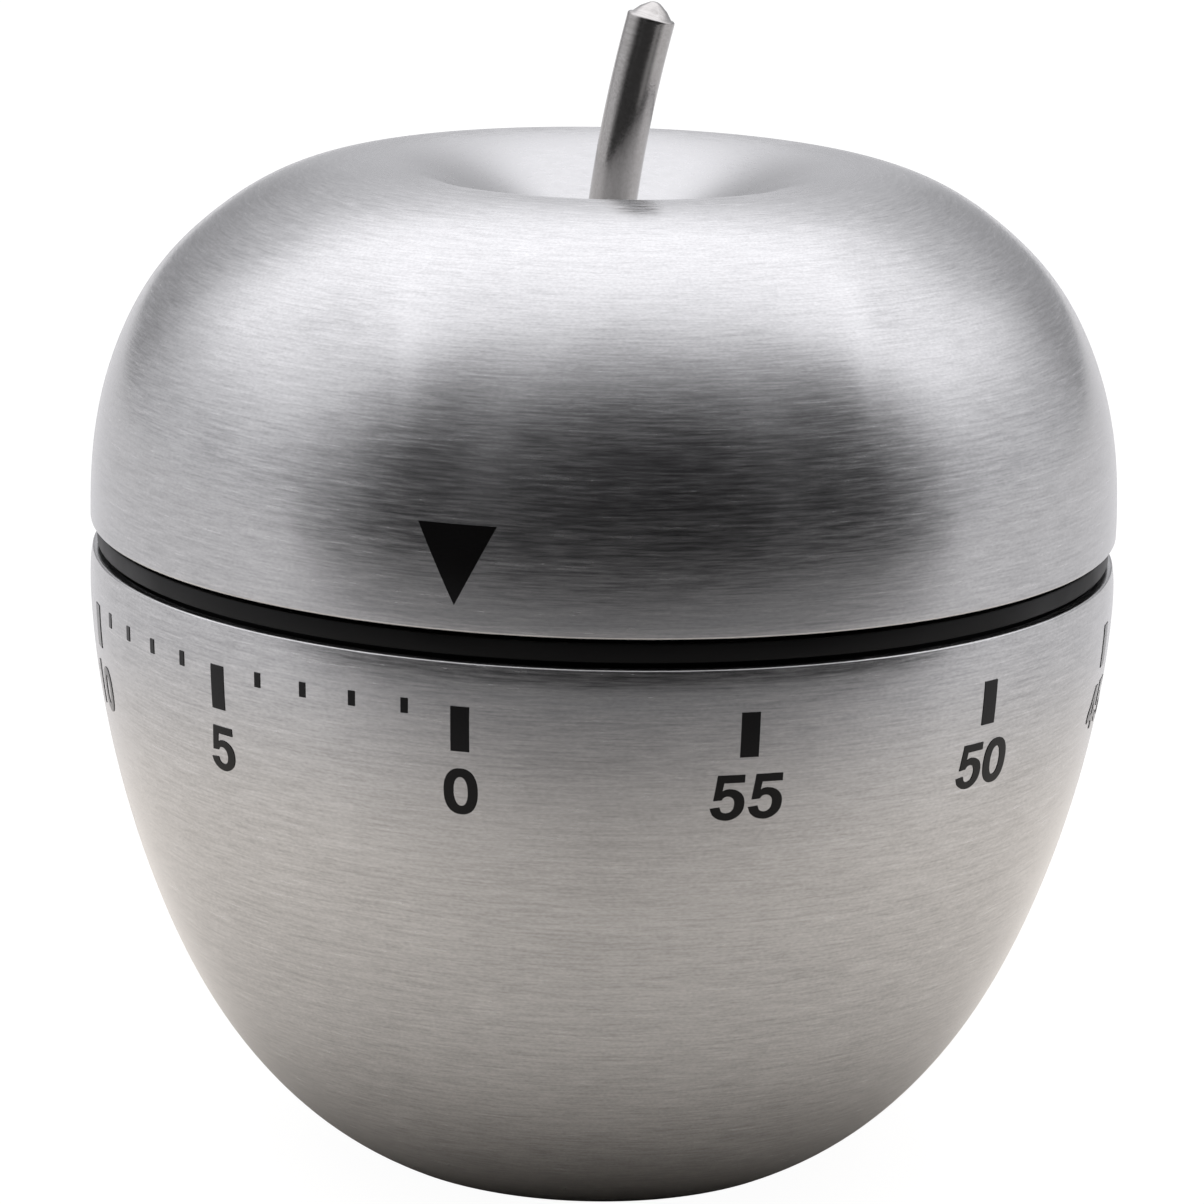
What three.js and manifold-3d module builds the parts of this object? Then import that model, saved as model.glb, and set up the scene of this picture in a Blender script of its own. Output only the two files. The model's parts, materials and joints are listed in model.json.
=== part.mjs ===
// Apple-shaped mechanical kitchen timer, 60 minutes.
// Units are millimetres, +Z is up, the origin is the centre of the flat base.
// The pointer on the upper half and the zero of the scale face -Y.
import * as THREE from 'three';
import { mergeVertices } from 'three/addons/utils/BufferGeometryUtils.js';
import Module from 'manifold-3d';

const wasm = await Module();
wasm.setup();

// ---------------------------------------------------------------- dimensions
const BASE_FLAT_R = 13.88;      // flat ring that the timer stands on
const BASE_HOLE_R = 11.5;       // opening in the bottom of the lower shell
const SHELL_T = 0.6;            // sheet thickness of both shells
const SHELL_GAP = 0.5;          // shell to plastic insert
const LINER_T = 1.2;            // wall of the plastic inserts
const LOWER_RIM_Z = 35.94;      // top edge of the lower shell
const UPPER_RIM_Z = 37.6;       // bottom edge of the upper shell
const CREST_R = 13.9;           // ring at the top of the upper shell
const CREST_Z = 58.42;
const DIMPLE_DEPTH = 4.5;       // hollow around the stem
const STEM_HOLE_R = 1.72;
const STEM_R = 1.4;
const STEM_SHOULDER_Z = 67.0;
const STEM_TOP_Z = 67.82;
const STEM_BEND_Z = 55.2;       // where the stem starts to lean
const STEM_C1 = 0.11017;        // lean: offset = C1*s + C2*s*s
const STEM_C2 = 0.005913;
const STEM_DIR = [0.969, 0.247];
const SEG = 32;                 // facets round the big turned shapes

const PLATE_R = 22.4, PLATE_T = 1.2;
const PLATE_LO_Z = 16.0, PLATE_HI_Z = 32.0;
const PIVOT_R = 0.5, PIVOT_HOLE_R = 0.66;
const ARBOR_R = 0.7, WHEEL_HOLE_R = 1.0;
const WIND_R = 1.5;             // winding arbor
const TURN = Math.PI / 180;

// gear train
const M1 = 0.40, GREAT_N = 60, PINION_N = 8;
const M2 = 0.30, SECOND_N = 56;
const M3 = 0.30, THIRD_N = 54;
const ESCAPE_N = 20, ESCAPE_R = 5.0;
const PRESSURE = 25 * TURN, ADD = 0.75, DED = 1.05, SHIFT = 0.25, BACKLASH = 0.16;
const D12 = M1 * (GREAT_N + PINION_N) / 2;
const D23 = M2 * (SECOND_N + PINION_N) / 2;
const D34 = M3 * (THIRD_N + PINION_N) / 2;

// arbor positions in plan
const polar = (r, deg) => [r * Math.cos(deg * TURN), r * Math.sin(deg * TURN)];
const P2 = polar(D12, 150);
const P3 = polar(14.2, 190.3);
const P4 = polar(13.5, 229.35);
const P5 = polar(14.0, 259.7);
const PH = polar(18.3, 30);
const PILLARS = [105, 241, 345].map((a) => polar(20, a));
const SCREWS = [60, 180, 300].map((a) => polar(21, a));

// ---------------------------------------------------------------- helpers
function clean(geom) {
  let g = geom.index ? geom.clone() : geom.clone();
  g.deleteAttribute('normal');
  g.deleteAttribute('uv');
  g = mergeVertices(g, 1e-4);
  const idx = Array.from(g.index.array), out = [];
  for (let i = 0; i < idx.length; i += 3) {
    const [a, b, c] = [idx[i], idx[i + 1], idx[i + 2]];
    if (a !== b && b !== c && a !== c) out.push(a, b, c);
  }
  g.setIndex(out);
  g.clearGroups();
  return g;
}
function toM(geom) {
  const g = clean(geom);
  return new wasm.Manifold(new wasm.Mesh({
    numProp: 3,
    vertProperties: new Float32Array(g.attributes.position.array),
    triVerts: new Uint32Array(g.index.array),
  }));
}
function fromM(m) {
  const mesh = m.getMesh();
  const n = mesh.numProp, v = mesh.vertProperties, pos = new Float32Array(v.length / n * 3);
  for (let i = 0; i < v.length / n; i++) for (let k = 0; k < 3; k++) pos[3 * i + k] = v[n * i + k];
  const g = new THREE.BufferGeometry();
  g.setAttribute('position', new THREE.BufferAttribute(pos, 3));
  g.setIndex(Array.from(mesh.triVerts));
  return g;
}
const join = (...gs) => fromM(gs.slice(1).reduce((m, g) => m.add(toM(g)), toM(gs[0])));
const cut = (g, ...tools) => fromM(tools.reduce((m, t) => m.subtract(toM(t)), toM(g)));

function area(pts) {
  let a = 0;
  for (let i = 0; i < pts.length; i++) {
    const [x1, y1] = pts[i], [x2, y2] = pts[(i + 1) % pts.length];
    a += x1 * y2 - x2 * y1;
  }
  return a / 2;
}
// A closed (r, z) outline turned about Z. Points on the axis have r = 0.
function turned(pts, seg = SEG, x = 0, y = 0) {
  let p = pts.slice();
  if (area(p) < 0) p.reverse();
  const onAxis = p.filter((q) => q[0] === 0).length;
  if (onAxis >= 2) {
    // rotate the list so that it starts and ends on the axis
    let k = p.findIndex((q, i) => q[0] === 0 && p[(i + 1) % p.length][0] !== 0);
    p = p.slice(k).concat(p.slice(0, k));
  } else {
    p = p.concat([p[0]]);
  }
  const g = new THREE.LatheGeometry(p.map((q) => new THREE.Vector2(q[0], q[1])), seg);
  g.rotateX(Math.PI / 2);
  g.translate(x, y, 0);
  return g;
}
function cyl(r, z0, z1, seg = 12, x = 0, y = 0) {
  const g = new THREE.CylinderGeometry(r, r, z1 - z0, seg);
  g.rotateX(Math.PI / 2);
  g.translate(x, y, (z0 + z1) / 2);
  return g;
}
function box(x0, x1, y0, y1, z0, z1) {
  const g = new THREE.BoxGeometry(x1 - x0, y1 - y0, z1 - z0);
  g.translate((x0 + x1) / 2, (y0 + y1) / 2, (z0 + z1) / 2);
  return g;
}
function polygon(pts, z0, h, holes = []) {
  const s = new THREE.Shape(pts.map((p) => new THREE.Vector2(p[0], p[1])));
  for (const h of holes) s.holes.push(new THREE.Path(h.map((p) => new THREE.Vector2(p[0], p[1]))));
  const g = new THREE.ExtrudeGeometry(s, { depth: h, bevelEnabled: false, steps: 1 });
  g.translate(0, 0, z0);
  return g;
}
function circle(r, n, x = 0, y = 0, a0 = 0) {
  const out = [];
  for (let i = 0; i < n; i++) {
    const a = a0 + 2 * Math.PI * i / n;
    out.push([x + r * Math.cos(a), y + r * Math.sin(a)]);
  }
  return out;
}
// A bar with round ends between two points.
function bar(a, b, ra, rb, n = 6) {
  const t = Math.atan2(b[1] - a[1], b[0] - a[0]), out = [];
  for (let i = 0; i <= n; i++) {
    const q = t + Math.PI / 2 + Math.PI * i / n;
    out.push([a[0] + ra * Math.cos(q), a[1] + ra * Math.sin(q)]);
  }
  for (let i = 0; i <= n; i++) {
    const q = t - Math.PI / 2 + Math.PI * i / n;
    out.push([b[0] + rb * Math.cos(q), b[1] + rb * Math.sin(q)]);
  }
  return out;
}
const inv = (a) => Math.tan(a) - a;
// Involute gear outline about the origin, with a tooth centred on angle a0.
function gear(N, m, shift, a0, mids) {
  const r = N * m / 2, rb = r * Math.cos(PRESSURE);
  const rt = r + m * (ADD + shift), rr = r - m * (DED - shift);
  const half = (Math.PI / 2 + 2 * shift * Math.tan(PRESSURE)) / N - BACKLASH * m / (2 * r);
  const at = (q) => half + inv(PRESSURE) - (q > rb ? inv(Math.acos(rb / q)) : 0);
  const radii = [rr];
  const low = Math.max(rr, rb);
  if (rb > rr) radii.push(rb);
  for (let i = 1; i <= mids; i++) radii.push(low + (rt - low) * i / (mids + 1));
  radii.push(rt);
  const pts = [];
  for (let k = 0; k < N; k++) {
    const c = a0 + 2 * Math.PI * k / N;
    for (const q of radii) pts.push([q * Math.cos(c - at(q)), q * Math.sin(c - at(q))]);
    for (const q of radii.slice().reverse()) pts.push([q * Math.cos(c + at(q)), q * Math.sin(c + at(q))]);
  }
  return pts;
}
const shiftPts = (pts, p) => pts.map((q) => [q[0] + p[0], q[1] + p[1]]);
const dirDeg = (a, b) => Math.atan2(b[1] - a[1], b[0] - a[0]);
// Phase of a driven gear so that a gap of it meets the tooth of its driver.
function meshPhase(pa, na, phaseA, pb, nb) {
  const d = dirDeg(pa, pb), pitchA = 2 * Math.PI / na, pitchB = 2 * Math.PI / nb;
  const off = (((d - phaseA) % pitchA) + pitchA) % pitchA;  // tooth of A before the line of centres
  return d + Math.PI + off * (pitchB / pitchA) * 1 + pitchB / 2;
}
// clamped uniform cubic B-spline through control points, n samples
function bspline(ctrl, n) {
  const k = 3, c = ctrl.length, knots = [];
  for (let i = 0; i < c + k + 1; i++) knots.push(Math.min(Math.max(i - k, 0), c - k));
  const out = [];
  for (let s = 0; s < n; s++) {
    const t = Math.min(s / (n - 1) * (c - k), c - k - 1e-9);
    let j = k;
    while (t >= knots[j + 1]) j++;
    const d = [];
    for (let i = 0; i <= k; i++) d.push(ctrl[j - k + i].slice());
    for (let r = 1; r <= k; r++) for (let i = k; i >= r; i--) {
      const a = knots[j - k + i], b = knots[j + 1 + i - r], w = (t - a) / (b - a);
      d[i] = [d[i - 1][0] * (1 - w) + d[i][0] * w, d[i - 1][1] * (1 - w) + d[i][1] * w];
    }
    out.push(d[k]);
  }
  return out;
}
// Offset an open (r, z) curve to its left (towards the axis when it climbs).
function offset(curve, d) {
  return curve.map((p, i) => {
    const a = curve[Math.max(i - 1, 0)], b = curve[Math.min(i + 1, curve.length - 1)];
    const tx = b[0] - a[0], ty = b[1] - a[1], l = Math.hypot(tx, ty);
    return [p[0] - d * ty / l, p[1] + d * tx / l];
  });
}
function atZ(curve, z) {
  for (let i = 1; i < curve.length; i++) {
    const [r0, z0] = curve[i - 1], [r1, z1] = curve[i];
    if ((z0 - z) * (z1 - z) <= 0 && z0 !== z1) return r0 + (r1 - r0) * (z - z0) / (z1 - z0);
  }
  return null;
}

// ---------------------------------------------------------------- materials
const steel = () => new THREE.MeshStandardMaterial({ color: 0xb9b6b3, roughness: 0.34, metalness: 1.0 });
const cleanSteel = () => new THREE.MeshStandardMaterial({ color: 0xa9a7a5, roughness: 0.28, metalness: 1.0 });
const springSteel = () => new THREE.MeshStandardMaterial({ color: 0x59616b, roughness: 0.32, metalness: 1.0 });
const brass = () => new THREE.MeshStandardMaterial({ color: 0xc9a24e, roughness: 0.32, metalness: 1.0 });
const blackPlastic = () => new THREE.MeshStandardMaterial({ color: 0x151515, roughness: 0.4, metalness: 0.0 });

const timer = new THREE.Group();
const baseGroup = new THREE.Group(), capGroup = new THREE.Group(), trainGroup = new THREE.Group();
timer.add(baseGroup, capGroup, trainGroup);
function put(group, name, geom, material, p = [0, 0]) {
  const m = new THREE.Mesh(clean(geom), material);
  m.name = name;
  m.position.set(p[0], p[1], 0);
  group.add(m);
  return m;
}

// ---------------------------------------------------------------- outer shells
const LOWER_CTRL = [[BASE_FLAT_R, 0], [16.72, 1.49], [21.09, 5.56], [25.24, 12.6], [28.33, 21.55],
  [29.96, 30.28], [30.1, 35.0], [29.9, 35.75]];
const UPPER_CTRL = [[30.0, 37.75], [30.03, 39.94], [29.79, 44.6], [27.14, 51.17], [23.48, 54.84],
  [19.47, 57.57], [15.9, 58.42], [CREST_R, CREST_Z]];
const lowerCurve = bspline(LOWER_CTRL, 12);
const upperCurve = bspline(UPPER_CTRL, 11);
const dimple = [];
for (let i = 1; i <= 5; i++) {
  const r = CREST_R + (STEM_HOLE_R - CREST_R) * i / 5, t = (CREST_R - r) / CREST_R;
  dimple.push([r, CREST_Z - DIMPLE_DEPTH * (0.5 - 0.5 * Math.cos(Math.PI * t))]);
}
const upperOuter = upperCurve.concat(dimple);

{ // lower shell: flat ring at the bottom, rounded edge at the rim
  const inner = offset(lowerCurve, SHELL_T).map((p) => [p[0], Math.max(p[1], SHELL_T)])
    .filter((p, i) => i % 2 === 0 || i === lowerCurve.length - 1);
  inner[0] = [BASE_FLAT_R - 0.2, SHELL_T];
  const pts = [[BASE_HOLE_R, 0], ...lowerCurve, [29.72, LOWER_RIM_Z], [29.45, LOWER_RIM_Z],
    ...inner.reverse(), [BASE_HOLE_R, SHELL_T]];
  put(baseGroup, 'lower_shell', turned(pts), steel());
}
{ // upper shell: rim edge, dome, and the hollow that the stem stands in
  const inner = offset(upperOuter, SHELL_T).filter((p, i) => i % 2 === 0 || i === upperOuter.length - 1);
  inner[0] = [29.4, 37.75];
  inner[inner.length - 1] = [STEM_HOLE_R, upperOuter[upperOuter.length - 1][1] - SHELL_T];
  const pts = [[29.55, UPPER_RIM_Z], [29.85, UPPER_RIM_Z], ...upperOuter, ...inner.reverse()];
  put(capGroup, 'upper_shell', turned(pts), steel());
}

// ---------------------------------------------------------------- lower insert
const FLOOR_LO = 3.0, FLOOR_HI = 4.2;
const ringZ0 = LOWER_RIM_Z + 0.3, ringZ1 = 37.2;
const linerOut = offset(bspline(LOWER_CTRL, 24), SHELL_T + SHELL_GAP)
  .filter((p) => p[1] > FLOOR_LO + 0.6 && p[1] < 34.6).filter((p, i) => i % 3 === 0);
const linerIn = offset(bspline(LOWER_CTRL, 24), SHELL_T + SHELL_GAP + LINER_T)
  .filter((p) => p[1] > FLOOR_HI + 0.8 && p[1] < 34.4).filter((p, i) => i % 3 === 0);
const SHELF_Z0 = 14.2, SHELF_Z1 = 15.6, SHELF_R = 19.6;
{
  const lo = linerIn.filter((p) => p[1] < SHELF_Z0 - 0.4), hi = linerIn.filter((p) => p[1] > SHELF_Z1 + 0.4);
  const rOutBottom = atZ(offset(bspline(LOWER_CTRL, 60), SHELL_T + SHELL_GAP), FLOOR_LO);
  const rInBottom = atZ(offset(bspline(LOWER_CTRL, 60), SHELL_T + SHELL_GAP + LINER_T), FLOOR_HI);
  const wall = offset(bspline(LOWER_CTRL, 60), SHELL_T + SHELL_GAP + LINER_T);
  const pts = [[0, FLOOR_LO], [rOutBottom, FLOOR_LO], ...linerOut, [29.0, 34.9], [29.0, ringZ0],
    [29.65, ringZ0], [29.65, ringZ1], [27.3, ringZ1], [27.3, 34.9], ...hi.reverse(),
    [atZ(wall, SHELF_Z1), SHELF_Z1], [SHELF_R, SHELF_Z1], [SHELF_R, SHELF_Z0], [atZ(wall, SHELF_Z0), SHELF_Z0],
    ...lo.reverse(), [rInBottom, FLOOR_HI], [0, FLOOR_HI]];
  let g = turned(pts);
  // stop rib on the inside of the wall, at the back
  g = join(g, box(-0.6, 0.6, 25.0, 28.2, 33.6, 36.9));
  const holes = SCREWS.map((p) => cyl(1.0, SHELF_Z0 - 0.5, SHELF_Z1 + 0.5, 8, p[0], p[1]));
  for (let k = 0; k < 6; k++) {
    const q = polar(8.2, 30 + 60 * k);
    holes.push(cyl(2.0, FLOOR_LO - 0.5, FLOOR_HI + 0.5, 8, q[0], q[1]));
  }
  g = cut(g, ...holes);
  put(baseGroup, 'lower_liner', g, blackPlastic());
}
{ // plug in the base with sound slots
  let g = turned([[0, 0.4], [11.15, 0.4], [11.15, 0.95], [12.9, 0.95], [12.9, 2.3], [0, 2.3]], 32);
  const slots = [];
  for (let k = -2; k <= 2; k++) {
    const half = Math.sqrt(9.4 * 9.4 - (k * 3.3) ** 2);
    slots.push(polygon(bar([-half, k * 3.3], [half, k * 3.3], 0.8, 0.8, 4), 0, 3));
  }
  put(baseGroup, 'base_cap', cut(g, ...slots), blackPlastic());
}

// ---------------------------------------------------------------- bell
put(baseGroup, 'bell', turned([[1.6, 13.1], [8.3, 12.9], [11, 11.9], [12.6, 10.5], [13.3, 8.8], [13.3, 6.5],
  [14, 6.5], [14, 9], [13.2, 11], [11.4, 12.6], [8.5, 13.6], [1.6, 13.8]], 28), cleanSteel());
put(baseGroup, 'bell_post', turned([[0, 4.5], [2.6, 4.5], [2.6, 5.3], [2.0, 5.3], [2.0, 12.8], [1.25, 12.8],
  [1.25, 8.5], [0, 8.5]], 12), brass());
put(baseGroup, 'bell_screw', turned([[0, 9.0], [0.9, 9.0], [0.9, 14.1], [2.2, 14.1], [2.2, 14.8], [1.7, 15.2],
  [0, 15.2]], 12), cleanSteel());

// ---------------------------------------------------------------- movement frame
{
  const pivotHoles = (z) => [P2, P3, P4, P5, PH].map((p) => cyl(PIVOT_HOLE_R, z - 1, z + PLATE_T + 1, 10, p[0], p[1]));
  const pillarHoles = (z) => PILLARS.map((p) => cyl(1.0, z - 1, z + PLATE_T + 1, 8, p[0], p[1]));
  const lo = cut(polygon(circle(PLATE_R, SEG), PLATE_LO_Z, PLATE_T), ...pivotHoles(PLATE_LO_Z),
    ...pillarHoles(PLATE_LO_Z), cyl(1.3, 15, 18, 12),
    ...SCREWS.map((p) => cyl(1.0, 15, 18, 8, p[0], p[1])));
  put(baseGroup, 'movement_bottom_plate', lo, brass());
  const hi = cut(polygon(circle(PLATE_R, SEG), PLATE_HI_Z, PLATE_T), ...pivotHoles(PLATE_HI_Z),
    ...pillarHoles(PLATE_HI_Z), cyl(WIND_R + 0.3, 31, 34, 14));
  put(baseGroup, 'movement_top_plate', hi, brass());
}
PILLARS.forEach((p, i) => {
  const z0 = PLATE_LO_Z + PLATE_T + 0.3, z1 = PLATE_HI_Z - 0.3;
  put(baseGroup, `pillar_${i + 1}`, turned([[0, 15.95], [0.65, 15.95], [0.65, z0], [1.6, z0], [1.6, z1],
    [1.0, z1], [1.0, 27.6], [0, 27.6]], 10), cleanSteel(), p);
  put(baseGroup, `pillar_screw_${i + 1}`, turned([[0, 28.2], [0.65, 28.2], [0.65, 33.5], [1.7, 33.5],
    [1.7, 34.1], [1.3, 34.5], [0, 34.5]], 10), cleanSteel(), p);
});
SCREWS.forEach((p, i) => {
  put(baseGroup, `movement_screw_${i + 1}`, turned([[0, 12.6], [0.65, 12.6], [0.65, 17.5], [1.4, 17.5],
    [1.4, 18.0], [1.1, 18.3], [0, 18.3]], 10), cleanSteel(), p);
});
{ // mainspring: a spiral strip round the arbor, its outer end led out to the first pillar
  const turns = 4.6, steps = 64, t = 0.13;
  const end = Math.atan2(PILLARS[0][1], PILLARS[0][0]) - 0.62;
  const mid = [];
  for (let i = 0; i <= steps; i++) {
    const f = i / steps, a = end - (1 - f) * turns * 2 * Math.PI;
    const r = 2.1 + (10.4 - 2.1) * f;
    mid.push([r * Math.cos(a), r * Math.sin(a)]);
  }
  const p = PILLARS[0], l = Math.hypot(p[0], p[1]);
  mid.push([p[0] * 13.2 / l + 3.9, p[1] * 13.2 / l - 0.9], [p[0] * 16.4 / l + 2.2, p[1] * 16.4 / l + 0.2],
    [p[0] * 18.0 / l + 0.3, p[1] * 18.0 / l]);
  const left = offset(mid, t), right = offset(mid, -t);
  put(baseGroup, 'mainspring', polygon(right.concat(left.reverse()), 19.1, 4.4), springSteel());
}

// ---------------------------------------------------------------- upper half inside
{
  const up = bspline(UPPER_CTRL, 40);
  const out = offset(up, SHELL_T + SHELL_GAP).filter((p) => p[1] > 38.6 && p[1] < 47.5).filter((p, i) => i % 3 === 0);
  const inn = offset(up, SHELL_T + SHELL_GAP + LINER_T).filter((p) => p[1] > 41.6 && p[1] < 47.2).filter((p, i) => i % 3 === 0);
  const rimOut = atZ(offset(up, SHELL_T + SHELL_GAP), 38.6);
  const pts = [[rimOut, 37.8], ...out, [inn[inn.length - 1][0], out[out.length - 1][1]], ...inn.reverse(),
    [27.4, 40.9], [5.2, 40.9], [5.2, 45.2], [3.1, 45.2], [3.1, 38.4], [5.2, 38.4], [5.2, 39.5], [27.2, 39.5],
    [27.2, 37.8]];
  const g = turned(pts);
  // stop tab under the floor; at rest it lies just clockwise of the rib
  const tab = box(-0.5, 0.5, 24.6, 26.8, 34.2, 40.0);
  tab.rotateZ(-3.08 * TURN);
  put(capGroup, 'upper_liner', join(g, tab), blackPlastic());
}
// brass hub with a square hole, pressed in the insert
put(capGroup, 'drive_hub', polygon(circle(2.8, 16), 38.9, 6.0,
  [[[-1.4, -1.4], [-1.4, 1.4], [1.4, 1.4], [1.4, -1.4]]]), brass());
put(capGroup, 'winding_arbor', join(
  turned([[0, 15.6], [1.1, 15.6], [1.1, 17.35], [WIND_R, 17.35], [WIND_R, 38.2], [0, 38.2]], 14),
  box(-1.1, 1.1, -1.1, 1.1, 38.0, 44.6)), cleanSteel());
put(capGroup, 'stem_washer', turned([[1.6, 52.3], [3.4, 52.3], [3.4, 53.0], [1.6, 53.0]], 14), cleanSteel());
put(capGroup, 'stem_nut', polygon(circle(2.9, 6), 50.0, 2.0, [circle(1.6, 10).reverse()]), cleanSteel());
{ // stem: a turned rod, then leaned along its bend
  const g = clean(turned([[0, 49.0], [1.2, 49.0], [1.2, 53.6], [STEM_R, 53.9], [STEM_R, 55.2], [STEM_R, 58.2],
    [STEM_R, 61.2], [STEM_R, 64.2], [STEM_R, STEM_SHOULDER_Z - 0.15], [STEM_R - 0.12, STEM_SHOULDER_Z],
    [0.5, STEM_TOP_Z - 0.18], [0.2, STEM_TOP_Z], [0, STEM_TOP_Z]], 14));
  const a = g.attributes.position, [ux, uy] = STEM_DIR;
  for (let i = 0; i < a.count; i++) {
    const x = a.getX(i), y = a.getY(i), z = a.getZ(i);
    const s = Math.max(z - STEM_BEND_Z, 0), off = STEM_C1 * s + STEM_C2 * s * s;
    const tilt = Math.atan(s > 0 ? STEM_C1 + 2 * STEM_C2 * s : 0);
    const pu = x * ux + y * uy, pv = -x * uy + y * ux;
    const qu = off + pu * Math.cos(tilt), qz = z - pu * Math.sin(tilt);
    a.setXYZ(i, ux * qu - uy * pv, uy * qu + ux * pv, qz);
  }
  put(capGroup, 'stem', g, cleanSteel());
}
{ // ratchet wheel: saw teeth that push the click when the timer runs
  const n = 12, pts = [];
  for (let k = 0; k < n; k++) {
    const a = 2 * Math.PI * k / n;
    pts.push([4.4 * Math.cos(a), 4.4 * Math.sin(a)]);
    pts.push([3.6 * Math.cos(a + 0.06), 3.6 * Math.sin(a + 0.06)]);
  }
  put(capGroup, 'ratchet_wheel', polygon(pts, 24.8, 1.0, [circle(WIND_R + 0.3, 12).reverse()]), cleanSteel());
}
{ // alarm cam: a disc with one notch, where the hammer lever drops at zero
  const notch = -39.5, pts = [];
  for (let k = 0; k <= 22; k++) {
    const a = (notch + 12 + (336) * k / 22) * TURN;
    pts.push([4.9 * Math.cos(a), 4.9 * Math.sin(a)]);
  }
  pts.push(polar(3.4, notch - 12), polar(3.4, notch), polar(3.4, notch + 8));
  put(capGroup, 'alarm_cam', polygon(pts, 17.6, 0.9, [circle(WIND_R + 0.3, 12).reverse()]), brass());
}

// ---------------------------------------------------------------- going train
const phase1 = 0;
const phase2p = meshPhase([0, 0], GREAT_N, phase1, P2, PINION_N);
const phase2w = 0.03;
const phase3p = meshPhase(P2, SECOND_N, phase2w, P3, PINION_N);
const phase3w = 0.05;
const phase4p = meshPhase(P3, THIRD_N, phase3w, P4, PINION_N);
{
  const holes = [circle(1.9, 14).reverse(), circle(0.95, 8, 7.2, 0).reverse()];
  for (const a of [75, 165, 255]) holes.push(circle(2.2, 8, ...polar(7.2, a)).reverse());
  put(trainGroup, 'great_wheel', polygon(gear(GREAT_N, M1, -SHIFT, phase1, 0), 26.3, 1.0, holes), brass());
  // click, with its nose in a ratchet tooth
  const click = [[7.9, 1.1], [6.6, 1.2], [5.2, 1.75], [4.25, 1.55], [4.3, 1.2], [5.4, 0.9], [6.2, -0.4], [6.6, -1.1],
    [7.9, -1.1], [8.3, 0]];
  const cc = click.slice().reverse();
  put(trainGroup, 'click', polygon(area(cc) > 0 ? cc : click, 24.9, 0.8, [circle(0.9, 8, 7.2, 0).reverse()]), cleanSteel());
  put(trainGroup, 'click_rivet', turned([[0, 24.0], [1.2, 24.0], [1.2, 24.6], [0.6, 24.6], [0.6, 27.6], [1.1, 27.6],
    [1.1, 27.95], [0, 27.95]], 10), cleanSteel(), [7.2, 0]);
  // click spring: a bent strip that leans on the back of the click
  const mid = [[8.9, -6.0], [9.4, -4.0], [9.6, -2.0], [9.4, 0.2], [8.6, 2.0], [7.2, 2.6], [6.2, 2.2]];
  put(trainGroup, 'click_spring', polygon(offset(mid, -0.15).concat(offset(mid, 0.15).reverse()), 24.9, 0.8), springSteel());
}
function wheelAndArbor(name, p, N, m, wz, wt, pinionM, pz0, pz1, pinPhase, wheelPhase) {
  const z0 = PLATE_LO_Z - 0.4, z1 = PLATE_HI_Z + PLATE_T + 0.4;
  const arbor = turned([[0, z0], [PIVOT_R, z0], [PIVOT_R, 17.4], [ARBOR_R, 17.4], [ARBOR_R, 31.8], [PIVOT_R, 31.8],
    [PIVOT_R, z1], [0, z1]], 8);
  const pin = pinionM ? polygon(gear(PINION_N, pinionM, SHIFT, pinPhase, 1), pz0, pz1 - pz0) : null;
  put(trainGroup, `${name}_arbor`, pin ? join(arbor, pin) : arbor, cleanSteel(), p);
  const holes = [circle(WHEEL_HOLE_R, 8).reverse()];
  for (let k = 0; k < 3; k++) holes.push(circle(1.9, 8, ...polar(4.7, 30 + 120 * k)).reverse());
  if (N) put(trainGroup, `${name}_wheel`, polygon(gear(N, m, -SHIFT, wheelPhase, 0), wz, wt, holes), brass(), p);
}
wheelAndArbor('second', P2, SECOND_N, M2, 28.3, 0.8, M1, 25.9, 27.7, phase2p, phase2w);
wheelAndArbor('third', P3, THIRD_N, M3, 30.0, 0.7, M2, 27.9, 29.5, phase3p, phase3w);
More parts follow.
